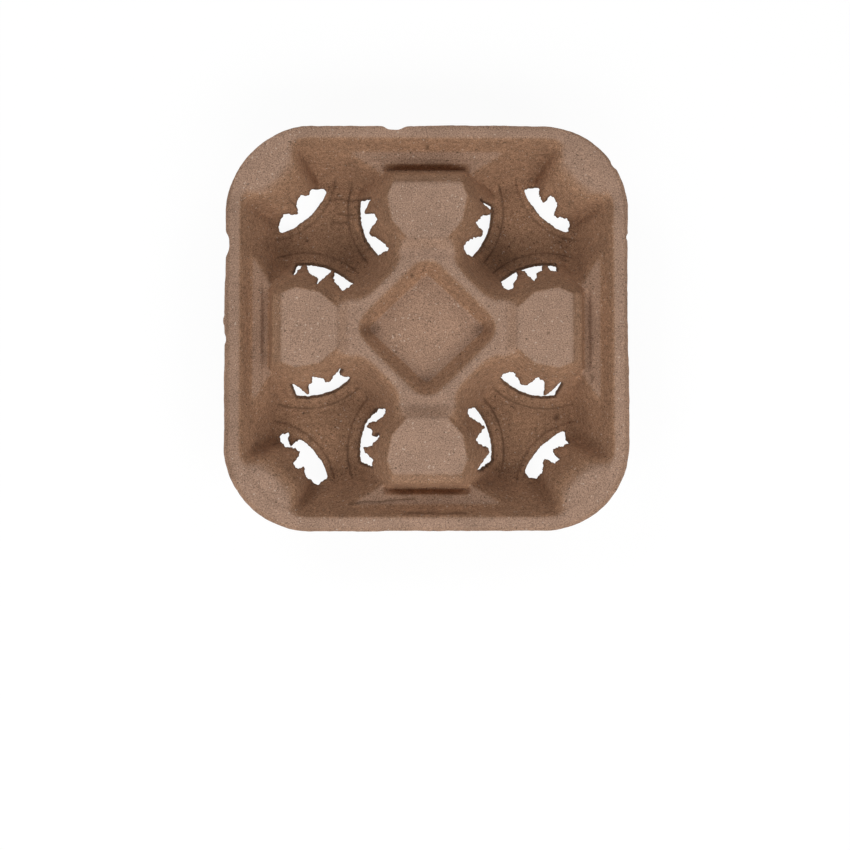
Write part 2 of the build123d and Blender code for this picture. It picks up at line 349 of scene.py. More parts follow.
# patterns of the pulp: each a noise as (scale, detail), and its first and last grey as (noise, grey)
CLOUDING = (70, 4)
CLOUDING_GREYS = [(0.32, 0.9), (0.68, 1.1)]
GRAIN = (1500, 2)
GRAIN_GREYS = [(0.28, 0.5), (0.72, 1.5)]
BROWN_GRAIN = (430, 3)
BROWN_GRAIN_GREYS = [(0.3, 0.74), (0.7, 1.26)]
DARK_FIBRES = (750, 0)
DARK_FIBRES_GREYS = [(0.76, 0.0), (0.8, 0.7)]
PALE_FIBRES = (800, 0)
PALE_FIBRES_GREYS = [(0.77, 0.0), (0.81, 0.6)]
NOISE_ROUGHNESS = 0.65
PULP_ROUGHNESS = 0.92
PULP_SHEEN = 0.2
GRAIN_STRENGTH = 0.6
GRAIN_HEIGHT = 0.0004

# sockets of Blender's mix node where it mixes colours
MIX_FACTOR = 0
MIX_BELOW = 6
MIX_OVER = 7
MIX_RESULT = 2

# spacing of the mesh: along the slots and the rim, and between points of the surface where it bends or is
# marked
OUTLINE_STEP = 0.5
RIM_STEP = 0.8
RIM_ARC_POINTS = 90
FINE_STEP = 0.68
GRID_INSET = 0.2
BENT_SHARE = 0.15
SHOWN_MARK = 0.14
SHARP_ANGLE = math.radians(62)

# slots: how far gaps to them are measured, how near the fine spacing begins, and the gap that points keep
SLOT_REACH = 3.0
BESIDE_SLOT = 2.0
SLOT_GAP = 0.3

# rim: how near points are tried against it, how far gaps to it are measured, and the gap that points keep
RIM_BAND = 4.0
RIM_REACH = 1.0
RIM_GAP = 0.45

# floor and room, as they carry light and as they are seen, and lamps as (name, place, side, power in watts)
WHITE = (1, 1, 1, 1)
FLOOR_HALF = 3.0
FLOOR_DROP = 0.0005
FLOOR_TONE = (0.6, 0.6, 0.6, 1)
FLOOR_SHADE = (0.08, 0.08, 0.08, 1)
FLOOR_GLOW = 0.93
ROOM_LIGHT = 0.06
ROOM_SEEN = 0.97
LAMPS = [
    ("near lamp", (0, -0.8, 0.87), 0.6, 4.9),
    ("near right lamp", (0.6, -0.6, 0.85), 0.5, 4.2),
    ("near left lamp", (-0.6, -0.6, 0.85), 0.5, 2.8),
    ("far right lamp", (0.6, 0.6, 0.85), 0.5, 2.8),
    ("far left lamp", (-0.6, 0.6, 0.85), 0.5, 4.3),
]


def soft_max(a, b, round_over):
    """Greater of a and b, blended by a parabola where the two are closer than round_over."""
    near = np.maximum(round_over - np.abs(a - b), 0.0) / round_over
    return np.maximum(a, b) + near * near * round_over / 4


def soft_min(a, b, round_over):
    """Lesser of a and b, blended as soft_max blends the greater."""
    return -soft_max(-a, -b, round_over)


def ease(t):
    """Cubic that rises smoothly from 0 to 1 as t does."""
    t = np.clip(t, 0.0, 1.0)
    return t * t * (3 - 2 * t)


def widened(blend, share):
    """Width of a blend that grows smoothly, by as much as is given, while the share goes from 0 to 1."""
    narrow, more = blend
    return narrow + more * ease(share)


def cloud(x, y, size, seed):
    """Smooth random field from -1 to 1: random values on a square lattice, eased between them."""
    cells = int(CLOUD_SPAN / size)
    lattice = np.random.default_rng(seed).uniform(-1, 1, (cells, cells))
    u, v = (x + CLOUD_START) / size, (y + CLOUD_START) / size
    i, j = u.astype(int), v.astype(int)
    s, t = ease(u - i), ease(v - j)
    low = lattice[i, j] * (1 - s) + lattice[i + 1, j] * s
    high = lattice[i, j + 1] * (1 - s) + lattice[i + 1, j + 1] * s
    return low * (1 - t) + high * t


def clouds(x, y, layers):
    """Sum of random fields, each layer given as (height, size, seed)."""
    return sum(height * cloud(x, y, size, seed) for height, size, seed in layers)


def outside_rounded_square(x, y, half, radius):
    """Distance outside a square with rounded corners, negative inside it."""
    qx, qy = np.abs(x) - (half - radius), np.abs(y) - (half - radius)
    return np.hypot(np.maximum(qx, 0), np.maximum(qy, 0)) + np.minimum(np.maximum(qx, qy), 0) - radius


def pad_height(across, out):
    """One pad with its sides: the lowest of the level top and of steep planes falling from its edges,
    joined to a ramp that falls from its nose towards the hub."""
    (nose, nose_half), (heel, _) = PAD_EDGE[0], PAD_EDGE[-1]
    pad = PAD_Z - np.maximum(np.maximum(nose - out, out - heel), 0) / PAD_END_LEAN
    for (out_a, half_a), (out_b, half_b) in zip(PAD_EDGE, PAD_EDGE[1:]):
        length = math.hypot(out_b - out_a, half_b - half_a)
        beyond = (across - half_a) * (out_b - out_a) - (out - out_a) * (half_b - half_a)
        pad = soft_min(pad, PAD_Z - beyond / length / PAD_SIDE_LEAN, PAD_ROUND)
    ramp = PAD_Z - NOSE_DROP - NOSE_SLOPE * np.abs(nose - out)
    ramp = soft_min(ramp, PAD_Z - (across - nose_half) / NOSE_SIDE_LEAN, NOSE_ROUND)
    return soft_min(np.maximum(pad, ramp), np.full_like(out, PAD_Z), PAD_ROUND)


def island_height(ax, ay):
    """Hub, necks and pillars. Their leaning sides are joined first, with wide valleys, and the joined
    form is cut off by its rounded ridge, dipped at each neck. The pads stand on it, kept within its
    sides, and a sloping strip and a steep face end it outwards."""
    sides = RIDGE_Z + (HUB_HALF - (ax + ay) / math.sqrt(2)) / HUB_LEAN
    ridge = np.full_like(ax, RIDGE_Z)
    for across, out in ((ax, ay), (ay, ax)):
        neck = np.where(out < PILLAR_REACH, RIDGE_Z + (NECK_HALF - across) / WALL_LEAN, FAR_BELOW)
        sides = soft_max(sides, neck, NECK_VALLEY)
    for across, out in ((ax, ay), (ay, ax)):
        pillar = RIDGE_Z + (PILLAR_RADIUS - np.hypot(across, out - PILLAR_REACH)) / WALL_LEAN
        sides = soft_max(sides, pillar, PILLAR_VALLEY)
        dip = SADDLE_DIP * np.exp(-((out - SADDLE_OUT) / SADDLE_LENGTH) ** 2)
        ridge = ridge - dip * ease((SADDLE_HALF - across) / SADDLE_FADE)
    island = soft_min(sides, ridge, RIDGE_ROUND)
    for across, out in ((ax, ay), (ay, ax)):
        pad = soft_min(pad_height(across, out), sides + PAD_PROUD, PAD_FOOT_ROUND)
        island = soft_max(island, pad, PAD_FOOT_ROUND)
        strip = RIDGE_Z - STRIP_DROP * (out - STRIP_IN) / (LEDGE_IN - STRIP_IN)
        strip = soft_min(np.full_like(out, ABOVE_PADS), strip, STRIP_ROUND)
        face = RIDGE_Z - STRIP_DROP - (out - LEDGE_IN) / GROOVE_LEAN
        island = soft_min(island, soft_min(strip, face, FACE_ROUND), PILLAR_END_ROUND)
    return island


def bulge_height(dx, dy):
    """Bulge in one corner, from its own middle: a broad leaning cone towards the well, pinched by two
    steep sides that close in on each other as they run inwards."""
    inwards, across = -(dx + dy) / math.sqrt(2), np.abs(dx - dy) / math.sqrt(2)
    far = np.hypot(np.maximum(inwards, 0), BULGE_BREADTH * across)
    front = BULGE_Z + (BULGE_RADIUS - far) / BULGE_LEAN
    flank = BULGE_Z + (BULGE_HALF - BULGE_PINCH * inwards - across) / BULGE_SIDE_LEAN
    return soft_min(front, flank, BULGE_ROUND)


def hollow_height(x, y):
    """Square hollow in the hub, standing on its corner, with a floor that is longer sideways. Between the
    outline of its floor and that of its crest it rises in proportion to the distances from the two, and
    beyond the crest it goes on at one slope."""
    squeezed = HOLLOW_FLOOR_SQUEEZE * x
    u, v = (x + y) / math.sqrt(2), (x - y) / math.sqrt(2)
    p, q = (squeezed + y) / math.sqrt(2), (squeezed - y) / math.sqrt(2)
    from_floor = outside_rounded_square(p, q, HOLLOW_FLOOR_HALF, HOLLOW_FLOOR_RADIUS)
    from_crest = outside_rounded_square(u, v, HOLLOW_CREST_HALF, HOLLOW_CREST_RADIUS)
    band = np.maximum(np.maximum(from_floor, 0) + np.maximum(-from_crest, 0), HOLLOW_LEAST_BAND)
    rise = (RIDGE_Z - HOLLOW_Z) * np.maximum(from_floor, 0) / band
    rise = rise + HOLLOW_OUTER_SLOPE * np.maximum(from_crest, 0)
    return soft_max(np.full_like(x, HOLLOW_Z), HOLLOW_Z - HOLLOW_ROUND / 2 + rise, HOLLOW_ROUND)


def web_height(across, out, depth):
    """One web between a pillar and the outer wall: a ledge that is wider and a little higher outwards,
    with leaning sides and a groove. The groove is steep on the pillar's side and gentle on the other, and
    its bottom rises towards its ends by the square of the way."""
    run, spread = LEDGE_OUT - LEDGE_IN, LEDGE_OUT_HALF - LEDGE_IN_HALF
    past = ((across - LEDGE_IN_HALF) * run - (out - LEDGE_IN) * spread) / math.hypot(spread, run)
    ledge = LEDGE_Z + LEDGE_SLOPE * (out - LEDGE_OUT + LEDGE_LEVEL_IN)
    web = soft_min(ledge, ledge - past / WALL_LEAN, LEDGE_ROUND)
    middle = LEDGE_IN + (RIDGE_Z - STRIP_DROP - LEDGE_Z) * GROOVE_LEAN + GROOVE_WIDTH / 2
    end = np.maximum(across / GROOVE_HALF - GROOVE_LEVEL_SHARE, 0)
    bottom = LEDGE_Z - depth + GROOVE_END_RISE * end ** 2
    lean = np.where(out > middle, GROOVE_OUTER_LEAN, GROOVE_LEAN)
    groove = LEDGE_Z + (np.abs(out - middle) - GROOVE_WIDTH / 2) / lean
    web = soft_min(web, soft_max(groove, bottom, GROOVE_ROUND), GROOVE_EDGE_ROUND)
    return np.where(out > WEB_START, web, FAR_BELOW)


def moulded_height(x, y):
    """Height of the upper surface: the highest of the outer wall with its corner bulges, the island less
    the hub's hollow, the webs and the well floor, limited by the flange, with every join rounded."""
    ax, ay = np.abs(x), np.abs(y)
    wide, long = x * SIDE_SQUEEZE, y * np.where(y > 0, BACK_SQUEEZE, FRONT_SQUEEZE)
    out = outside_rounded_square(wide, long, HALF - FLANGE_WIDTH, RIM_RADIUS - FLANGE_WIDTH)

    body = soft_min(island_height(ax, ay), hollow_height(x, y), CREST_ROUND)
    body = soft_max(body, web_height(ax, ay, GROOVE_DEPTH), LEDGE_FOOT_ROUND)
    body = soft_max(body, web_height(ay, ax, SIDE_GROOVE_DEPTH), LEDGE_FOOT_ROUND)

    brow = FLANGE_Z - (FLANGE_Z - BULGE_Z) * ease(-out / BROW_WIDTH)
    flange = brow - FLANGE_SLOPE * np.maximum(out, 0)
    flange = flange - RIM_FALL * ease((out - FLANGE_WIDTH + RIM_FALL_IN) / RIM_FALL_WIDTH)
    wall = FLANGE_Z + out / WALL_LEAN
    bulge = bulge_height(ax - BULGE_REACH, ay - BULGE_REACH)
    far_bulge = np.hypot(ax - BULGE_REACH, ay - BULGE_REACH)
    valley = widened(BULGE_VALLEY, (np.maximum(wall, bulge) - BULGE_VALLEY_FROM) / BULGE_VALLEY_OVER)
    brink = widened(BRINK_ROUND, (BRINK_FROM - far_bulge) / BRINK_OVER)
    walls = soft_min(soft_max(wall, bulge, valley), flange, brink)
    valley = widened(WALL_VALLEY, (WALL_VALLEY_FROM - np.maximum(body, walls)) / WALL_VALLEY_OVER)
    body = soft_max(body, walls, valley)
    body = np.where(out > -FLANGE_REACH, soft_min(body, flange, FLANGE_ROUND), body)

    floor = SKIN + np.clip(BULGE_STEP - far_bulge, 0, STEP_RISE)
    for across, along in ((ax, ay), (ay, ax)):
        far_pillar = np.hypot(across, along - PILLAR_REACH)
        floor = np.maximum(floor, SKIN + np.clip(PILLAR_STEP - far_pillar, 0, STEP_RISE))
    return soft_max(floor, body, WELL_ROUND)


def walk(corners, step):
    """Points at equal steps along a closed line of straight stretches, its last corner being its first."""
    walked = np.concatenate([[0], np.cumsum(np.hypot(*np.diff(corners, axis=0).T))])
    steps = np.linspace(0, walked[-1], int(walked[-1] / step))[:-1]
    return np.stack([np.interp(steps, walked, corners[:, 0]), np.interp(steps, walked, corners[:, 1])], 1)


def left_of(edge):
    """Unit vectors to the left of a closed outline: the way from the point before to the one after,
    turned by a quarter."""
    along = np.roll(edge, -1, 0) - np.roll(edge, 1, 0)
    return np.stack([-along[:, 1], along[:, 0]], 1) / np.maximum(np.hypot(*along.T), 1e-6)[:, None]


def slot_outline(reach, arc, bearing, tears, seed):
    """Closed outline of one finger slot. The torn edge runs through its tears, a smooth arc closes it,
    and the whole is walked in equal steps, smoothed and shaken sideways by random fields, more along the
    tear than along the arc. Returns the outline and its torn part."""
    angle = np.radians([a for a, bite in tears])
    far = arc - np.array([bite for a, bite in tears])
    closing = np.linspace(angle[-1], angle[0], ARC_POINTS)[1:]
    turn = np.concatenate([angle, closing])
    far = np.concatenate([far, np.full(closing.shape, arc)])
    edge = walk(np.stack([far * np.cos(turn), far * np.sin(turn)], 1), OUTLINE_STEP)
    edge = sum(np.roll(edge, k, 0) for k in SMOOTHING) / len(SMOOTHING)
    torn = np.hypot(*edge.T) < arc - TORN_FROM
    shake = clouds(*edge.T, [(*COARSE_SHAKE, seed), (*FINE_SHAKE, seed + FINE_SHAKE_SEED)])
    shake = np.where(torn, TEAR_SHAKE, ARC_SHAKE) * shake
    edge = edge - left_of(edge) * shake[:, None]
    edge = edge + reach * np.array([math.cos(math.radians(bearing)), math.sin(math.radians(bearing))])
    return edge, edge[torn]


def rim_outline():
    """Outline of the rim: a square with rounded corners walked in equal steps, pushed in at the worn
    places and shaken a little all along."""
    quarter = np.linspace(0, math.pi / 2, RIM_ARC_POINTS)
    inner = HALF - RIM_RADIUS
    arcs = [np.stack([inner + RIM_RADIUS * np.cos(quarter), inner + RIM_RADIUS * np.sin(quarter)], 1)]
    for _ in range(3):
        arcs.append(np.stack([-arcs[-1][:, 1], arcs[-1][:, 0]], 1))
    edge = walk(np.concatenate(arcs + [arcs[0][:1]]), RIM_STEP)
    depth = RIM_WEAR + clouds(*edge.T, RIM_WAVES)
    for x, y, length, nick in RIM_NICKS:
        depth += nick * np.exp(-((edge[:, 0] - x) ** 2 + (edge[:, 1] - y) ** 2) ** 2 / length ** 4)
    return edge + left_of(edge) * depth[:, None]


def inside(x, y, outline):
    """True for points inside a closed outline: a ray to the right crosses it an odd number of times."""
    x0, y0 = outline.T
    x1, y1 = np.roll(outline, -1, 0).T
    result = np.zeros(x.shape, bool)
    box = (x > x0.min()) & (x < x0.max()) & (y > y0.min()) & (y < y0.max())
    px, py = x[box][:, None], y[box][:, None]
    spans = (y0 > py) != (y1 > py)
    crossing = x0 + (py - y0) * (x1 - x0) / np.where(y1 == y0, 1e-9, y1 - y0)
    result[box] = (spans & (px < crossing)).sum(1) % 2 == 1
    return result


def edge_distance(x, y, outlines, limit):
    """Distance to the nearest outline point, or the limit where that is farther."""
    nearest = np.full(x.shape, limit)
    for outline in outlines:
        low, high = outline.min(0) - limit, outline.max(0) + limit
        box = (x > low[0]) & (x < high[0]) & (y > low[1]) & (y < high[1])
        gap = np.hypot(x[box][:, None] - outline[:, 0], y[box][:, None] - outline[:, 1]).min(1)
        nearest[box] = np.minimum(nearest[box], gap)
    return nearest


def inside_rim(x, y, rim, margin):
    """True for points at least a margin inside the rim. Only those near it are tried against it."""
    near = outside_rounded_square(x, y, HALF, RIM_RADIUS) > -RIM_BAND
    result = ~near
    clear = edge_distance(x[near], y[near], [rim], RIM_REACH) >= margin
    result[near] = inside(x[near], y[near], rim) & clear
    return result


def line_distance(x, y, line):
    """Distance from each point to a line of straight stretches."""
    nearest = np.full(x.shape, np.inf)
    for (x0, y0), (x1, y1) in zip(line, line[1:]):
        along = ((x - x0) * (x1 - x0) + (y - y0) * (y1 - y0)) / ((x1 - x0) ** 2 + (y1 - y0) ** 2)
        along = np.clip(along, 0, 1)
        nearest = np.minimum(nearest, np.hypot(x - x0 - along * (x1 - x0), y - y0 - along * (y1 - y0)))
    return nearest


def line_mark(distance, mark):
    """Mark along a line: its strength, fading with the distance as a bell curve of its width."""
    strength, width = mark
    return strength * np.exp(-(distance / width) ** 2)


def marks_and_painted_shade(x, y, slots, tears):
    """Darkness from 0 to 1, the strongest one at each place: painted shade along the edges of the slots, in
    the crease of the step round each foot, along the outlines of the pads and the creases of the ledges, in
    the corners of the hollow and on the left flange; and cracks, darker spots on the necks and pits. Lines
    and spots fade as bell curves."""
    ax, ay = np.abs(x), np.abs(y)
    # painted shade along the edges of the slots, stronger along the torn parts
    marks_and_shade = line_mark(edge_distance(x, y, slots, SLOT_REACH), SLOT_EDGE_SHADE)
    marks_and_shade = np.maximum(marks_and_shade, line_mark(edge_distance(x, y, tears, SLOT_REACH), TORN_EDGE_SHADE))
    # painted shade in the crease of the step round each foot, only on the floors of the wells
    in_well = (moulded_height(x, y) < WELL_TOP) * (STEP_SHADE_SHARE + clouds(x, y, [STEP_SHADE_CLOUD]))
    far_bulge = np.hypot(ax - BULGE_REACH, ay - BULGE_REACH)
    for gap, mark in ((np.hypot(ax, ay - PILLAR_REACH) - PILLAR_ARC, PILLAR_STEP_SHADE),
                      (np.hypot(ax - PILLAR_REACH, ay) - PILLAR_ARC, PILLAR_STEP_SHADE),
                      (far_bulge - BULGE_ARC + BULGE_SHADE_IN, BULGE_STEP_SHADE)):
        marks_and_shade = np.maximum(marks_and_shade, in_well * line_mark(gap - STEP_WIDTH, mark))
    # painted shade along the outlines of the pads
    pad = [(PAD_EDGE[0][0], 0.0)] + PAD_EDGE + [(PAD_EDGE[-1][0], 0.0)]
    for across, out in ((ax, ay), (ay, ax)):
        marks_and_shade = np.maximum(marks_and_shade, line_mark(line_distance(out, across, pad), PAD_EDGE_SHADE))
    # cracks, and painted shade along the creases of the ledges
    for lines, mark in ((CRACKS, CRACK_MARK), (CREASES, CREASE_SHADE)):
        for line in lines:
            marks_and_shade = np.maximum(marks_and_shade, line_mark(line_distance(x, y, line), mark))
    # darker spots on the necks, and painted shade in the corners of the hollow
    for px, py, radius, strength in NECK_SPOTS_AND_HOLLOW_SHADE:
        spot = ((x - px) / SPOT_LENGTH) ** 2 + (y - py) ** 2
        marks_and_shade = np.maximum(marks_and_shade, strength * np.exp(-spot / radius ** 2))
    # painted shade on the left flange
    along_left = ease((-x - LEFT_SHADE_FROM) / LEFT_SHADE_EDGE) * ease((LEFT_SHADE_HALF - ay) / LEFT_SHADE_FADE)
    marks_and_shade = np.maximum(marks_and_shade, LEFT_SHADE * along_left)
    for px, py, radius in PITS:
        marks_and_shade = np.maximum(marks_and_shade, PIT_STRENGTH * np.exp(-((x - px) ** 2 + (y - py) ** 2) / radius ** 2))
    return marks_and_shade


def surface_points(rim, slots, tears):
    """Points of a staggered grid inside the rim and clear of the slots: every second point in each
    direction, and all of them beside a slot, on the marks and the painted shade and on the most bent part of
    the surface."""
    row = FINE_STEP * math.sqrt(3) / 2
    i, j = np.meshgrid(np.arange(int(WIDTH / FINE_STEP)), np.arange(int(WIDTH / row)), indexing="ij")
    x = (i + 0.5 * (j % 2)) * FINE_STEP - HALF + GRID_INSET
    y = j * row - HALF + GRID_INSET
    z = moulded_height(x, y)
    # every second row is sqrt(3) steps away, so its second difference comes out three times as large
    bend = np.zeros_like(z)
    bend[1:-1] += np.abs(z[2:] - 2 * z[1:-1] + z[:-2])
    bend[:, 2:-2] += np.abs(z[:, 4:] - 2 * z[:, 2:-2] + z[:, :-4]) / 3
    near = edge_distance(x, y, slots, SLOT_REACH)
    keep = (j % 2 == 0) & (i % 2 == (j // 2) % 2)
    keep |= (near < BESIDE_SLOT) | (bend > np.quantile(bend, 1 - BENT_SHARE))
    keep |= marks_and_painted_shade(x, y, slots, tears) > SHOWN_MARK
    keep &= inside_rim(x, y, rim, RIM_GAP) & (near > SLOT_GAP)
    for slot in slots:
        keep &= ~inside(x, y, slot)
    return np.stack([x[keep], y[keep]], 1)


def loop_edges(loops, first):
    """Pairs of point numbers that close each loop, the loops being numbered on from first."""
    pairs = []
    for loop in loops:
        number = first + np.arange(len(loop))
        pairs.append(np.stack([number, np.roll(number, -1)], 1))
        first += len(loop)
    return np.concatenate(pairs)


def tray_plan(rim, slots, tears):
    """Plan of the tray as points and triangles: a Delaunay net through the surface points that keeps the
    rim and the slots as edges, less the triangles past the rim and in the slots. Each triangle is turned
    to face upwards."""
    points = surface_points(rim, slots, tears)
    edges = loop_edges([rim] + slots, len(points))
    points = np.concatenate([points, rim] + slots)
    whole_hull, nearest = 0, 1e-5
    made = geometry.delaunay_2d_cdt(points.tolist(), edges.tolist(), [], whole_hull, nearest, False)
    points, triangles = np.array(made[0]), np.array(made[2])
    middle = points[triangles].mean(1)
    keep = inside_rim(middle[:, 0], middle[:, 1], rim, 0.0)
    for slot in slots:
        keep &= ~inside(middle[:, 0], middle[:, 1], slot)
    used, triangles = np.unique(triangles[keep], return_inverse=True)
    points, triangles = points[used], triangles.reshape(-1, 3)
    a, b, c = (points[triangles[:, k]] for k in range(3))
    turn = (b[:, 0] - a[:, 0]) * (c[:, 1] - a[:, 1]) - (b[:, 1] - a[:, 1]) * (c[:, 0] - a[:, 0])
    triangles[turn < 0] = triangles[turn < 0][:, ::-1]
    return points, triangles


def pulp_surface(points, slots, tears):
    """Upper and lower surface over the plan points, and the tones at those points. The upper one is the
    moulded height, lumpy by a few tenths, drawn down at the edges of the slots where it is steep, and
    sunk at the marks and the painted shade. The lower one lies a skin's thickness beneath it along the
    slope's own normal. The pulp is browner and a little darker on slopes and low down than on the level
    tops: partly its own tone, partly painted shade."""
    x, y = points.T
    reach = SLOPE_REACH
    slope_x = (moulded_height(x + reach, y) - moulded_height(x - reach, y)) / (2 * reach)
    slope_y = (moulded_height(x, y + reach) - moulded_height(x, y - reach)) / (2 * reach)
    normal = np.stack([-slope_x, -slope_y, np.ones_like(x)], 1)
    normal /= np.linalg.norm(normal, axis=1)[:, None]
    height = moulded_height(x, y)
    # darkness of the marks and of the painted shade
    marks_and_shade = marks_and_painted_shade(x, y, slots, tears)
    steep = np.clip(CURL_STEEPNESS - CURL_STEEPNESS * normal[:, 2], 0, 1)
    curl = EDGE_CURL * (1 - ease(edge_distance(x, y, slots, SLOT_REACH) / CURL_WIDTH)) * steep
    outwards = clouds(x, y, LUMPS) - curl - MARK_SINK * marks_and_shade
    upper = np.stack([x, y, height], 1) + normal * outwards[:, None]
    upper[:, 2] = np.minimum(upper[:, 2], HEIGHT)
    lower = upper - normal * SKIN
    lower[:, 2] = np.clip(lower[:, 2], 0, upper[:, 2] - LEAST_SKIN)
    # browner and a little darker on slopes and low down: partly the pulp's own tone, partly painted shade
    brown_and_shade = ease((BROWN_BELOW - height) / BROWN_DEPTH)
    brown_and_shade = np.maximum(brown_and_shade, ease((BROWN_UPRIGHT - normal[:, 2]) / BROWN_LEANING))
    return upper, lower, {"brown_and_shade": brown_and_shade, "marks_and_shade": marks_and_shade}


def closed_shell(upper, lower, triangles):
    """Vertices and faces of a closed skin: the upper triangles, the lower ones turned over, and a strip
    of two triangles along each edge that has a triangle on one side only."""
    count = len(upper)
    edges = np.concatenate([triangles[:, [0, 1]], triangles[:, [1, 2]], triangles[:, [2, 0]]])
    key = np.sort(edges, 1) @ [count, 1]
    _, first, times = np.unique(key, return_index=True, return_counts=True)
    a, b = edges[first[times == 1]].T
    strip = np.concatenate([np.stack([b, a, a + count], 1), np.stack([b, a + count, b + count], 1)])
    return np.concatenate([upper, lower]), np.concatenate([triangles, triangles[:, ::-1] + count, strip])


def make_mesh(name, vertices, faces, tones):
    """Mesh object from arrays of vertices in millimetres and triangles, smooth but for its sharp edges.
    Each tone has a value at every upper vertex, which the lower one under it shares."""
    mesh = bpy.data.meshes.new(name)
    mesh.vertices.add(len(vertices))
    mesh.vertices.foreach_set("co", (vertices * MM).ravel())
    mesh.loops.add(faces.size)
    mesh.loops.foreach_set("vertex_index", faces.ravel().astype(np.int32))
    mesh.polygons.add(len(faces))
    mesh.polygons.foreach_set("loop_start", np.arange(0, faces.size, 3, dtype=np.int32))
    mesh.polygons.foreach_set("use_smooth", np.ones(len(faces), bool))
    mesh.update(calc_edges=True)
    mesh.validate()
    mesh.set_sharp_from_angle(angle=SHARP_ANGLE)
    for tone, values in tones.items():
        attribute = mesh.attributes.new(tone, "FLOAT", "POINT")
        attribute.data.foreach_set("value", np.tile(values, 2).astype(np.float32))
    piece = bpy.data.objects.new(name, mesh)
    bpy.context.scene.collection.objects.link(piece)
    return piece


def node(tree, kind, place, **settings):
    """New node of a kind, with settings on the node and, for names that are sockets, on its inputs."""
    made = tree.nodes.new(kind)
    made.location = place
    for name, value in settings.items():
        socket = name.replace("_", " ").title()
        if socket in made.inputs:
            made.inputs[socket].default_value = value
        else:
            setattr(made, name, value)
    return made


def pulp_material():
    """Unbleached paper pulp: matt, grey-brown on the level tops and browner and a little darker on slopes
    and in the wells, partly its own tone and partly painted shade, clouded softly, with a fine grain, a
    coarser one where it is browner, sparse dark and pale fibres, dark marks and painted shade."""
    material = bpy.data.materials.new("pulp")
    material.use_nodes = True
    tree = material.node_tree
    shader = tree.nodes["Principled BSDF"]
    shader.inputs["Roughness"].default_value = PULP_ROUGHNESS
    shader.inputs["Specular IOR Level"].default_value = PULP_SHEEN
    place = node(tree, "ShaderNodeTexCoord", (-1600, 0))

    def noise(pattern, y):
        """Noise of a pattern over the tray's own coordinates."""
        scale, detail = pattern
        made = node(tree, "ShaderNodeTexNoise", (-1350, y), scale=scale, detail=detail)
        made.inputs["Roughness"].default_value = NOISE_ROUGHNESS
        tree.links.new(place.outputs["Object"], made.inputs["Vector"])
        return made.outputs["Fac"]

    def tone(name, y):
        """Tone that the mesh carries at its vertices."""
        return node(tree, "ShaderNodeAttribute", (-1350, y), attribute_name=name).outputs["Fac"]

    def greys(factor, stops, y):
        """Grey that goes from the first stop's to the second's as the factor passes between them."""
        made = node(tree, "ShaderNodeValToRGB", (-1100, y))
        for element, (position, grey) in zip(made.color_ramp.elements, stops):
            element.position = position
            element.color = (grey, grey, grey, 1)
        tree.links.new(factor, made.inputs["Fac"])
        return made.outputs["Color"]

    def blend(below, over, factor, y, kind="MIX"):
        """One colour laid over another by a factor. Each may be a socket or a plain value."""
        made = node(tree, "ShaderNodeMix", (-400, y), data_type="RGBA", blend_type=kind)
        for value, number in ((below, MIX_BELOW), (over, MIX_OVER), (factor, MIX_FACTOR)):
            if isinstance(value, bpy.types.NodeSocket):
                tree.links.new(value, made.inputs[number])
            else:
                made.inputs[number].default_value = value
        return made.outputs[MIX_RESULT]

    # browner on slopes and low down: partly the pulp's own tone, partly painted shade
    brown_and_shade = tone("brown_and_shade", 600)
    grain = noise(GRAIN, 300)
    clouding = greys(noise(CLOUDING, 0), CLOUDING_GREYS, 0)
    brown_grain = greys(noise(BROWN_GRAIN, -150), BROWN_GRAIN_GREYS, -150)
    dark_fibres = greys(noise(DARK_FIBRES, -300), DARK_FIBRES_GREYS, -300)
    pale_fibres = greys(noise(PALE_FIBRES, -600), PALE_FIBRES_GREYS, -600)
    colour = blend(LEVEL_TONE, BROWN_TONE, brown_and_shade, 600)
    colour = blend(colour, clouding, 1.0, 400, "MULTIPLY")
    colour = blend(colour, greys(grain, GRAIN_GREYS, 300), 1.0, 200, "MULTIPLY")
    colour = blend(colour, brown_grain, brown_and_shade, 100, "MULTIPLY")
    colour = blend(colour, DARK_FIBRE, dark_fibres, 0)
    colour = blend(colour, PALE_FIBRE, pale_fibres, -200)
    # darkest tone laid on the marks and as painted shade
    colour = blend(colour, MARK_AND_SHADE_TONE, tone("marks_and_shade", -900), -400)
    tree.links.new(colour, shader.inputs["Base Color"])

    bump = node(tree, "ShaderNodeBump", (-300, -800), strength=GRAIN_STRENGTH, distance=GRAIN_HEIGHT)
    tree.links.new(grain, bump.inputs["Height"])
    tree.links.new(bump.outputs["Normal"], shader.inputs["Normal"])
    return material


def make_tray():
    """The carrier: one closed skin of pulp with twelve torn finger slots and a worn rim."""
    bulge_far = BULGE_REACH * math.sqrt(2)
    cut = [slot_outline(PILLAR_REACH, PILLAR_ARC, bearing, edge, PILLAR_SLOT_SEED + k)
           for k, (bearing, edge) in enumerate(PILLAR_SLOTS)]
    cut += [slot_outline(bulge_far, BULGE_ARC, bearing, edge, BULGE_SLOT_SEED + k)
            for k, (bearing, edge) in enumerate(BULGE_SLOTS)]
    slots, tears = [outline for outline, torn in cut], [torn for outline, torn in cut]
    points, triangles = tray_plan(rim_outline(), slots, tears)
    upper, lower, tones = pulp_surface(points, slots, tears)
    tray = make_mesh("tray", *closed_shell(upper, lower, triangles), tones)
    tray.data.materials.append(pulp_material())
    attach(tray, "root")
    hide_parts("pulp_tray")


